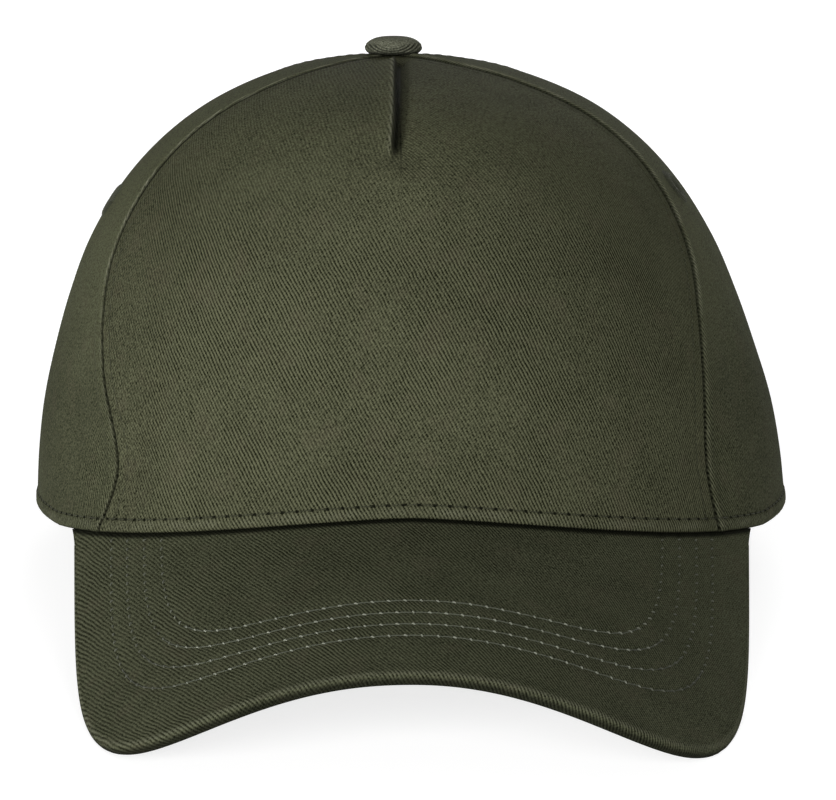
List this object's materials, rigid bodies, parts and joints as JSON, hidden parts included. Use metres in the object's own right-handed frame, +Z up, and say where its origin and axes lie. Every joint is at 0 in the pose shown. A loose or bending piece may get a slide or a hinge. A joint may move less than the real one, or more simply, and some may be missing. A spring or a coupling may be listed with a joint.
{
  "type": "five-panel cap",
  "caption": "Cloth cap with a wide darted front panel, curved stitched peak, inner sweatband, arched back opening with a strap, sewn eyelets and a covered top button.",
  "frame": {"origin": "on the floor under the middle of the cap's overall box, with the cap resting on its peak's corners and its back rim", "axes": "+Z up, the front and the peak towards -Y, the back towards +Y, +X to the viewer's right when the cap is seen from the front"},
  "size_m": [0.174, 0.263, 0.1206],
  "materials": {
    "crown_twill": "matt cotton twill, dark olive green",
    "peak_twill": "matt cotton twill over a stiff board, rows of stitching",
    "strap_twill": "matt cotton twill, doubled and edge stitched",
    "sweatband_cloth": "matt cotton tape, dark olive green",
    "eyelet_thread": "satin sewing thread, dark olive green"
  },
  "bodies": {
    "root": {"front_panel": "crown_twill", "side_panel_left": "crown_twill", "side_panel_right": "crown_twill", "back_panel_left": "crown_twill", "back_panel_right": "crown_twill", "peak": "peak_twill", "top_button": "crown_twill", "back_strap": "strap_twill", "sweatband": "sweatband_cloth", "eyelet_side_left": "eyelet_thread", "eyelet_side_right": "eyelet_thread", "eyelet_back_left": "eyelet_thread", "eyelet_back_right": "eyelet_thread"}
  },
  "joints": []
}
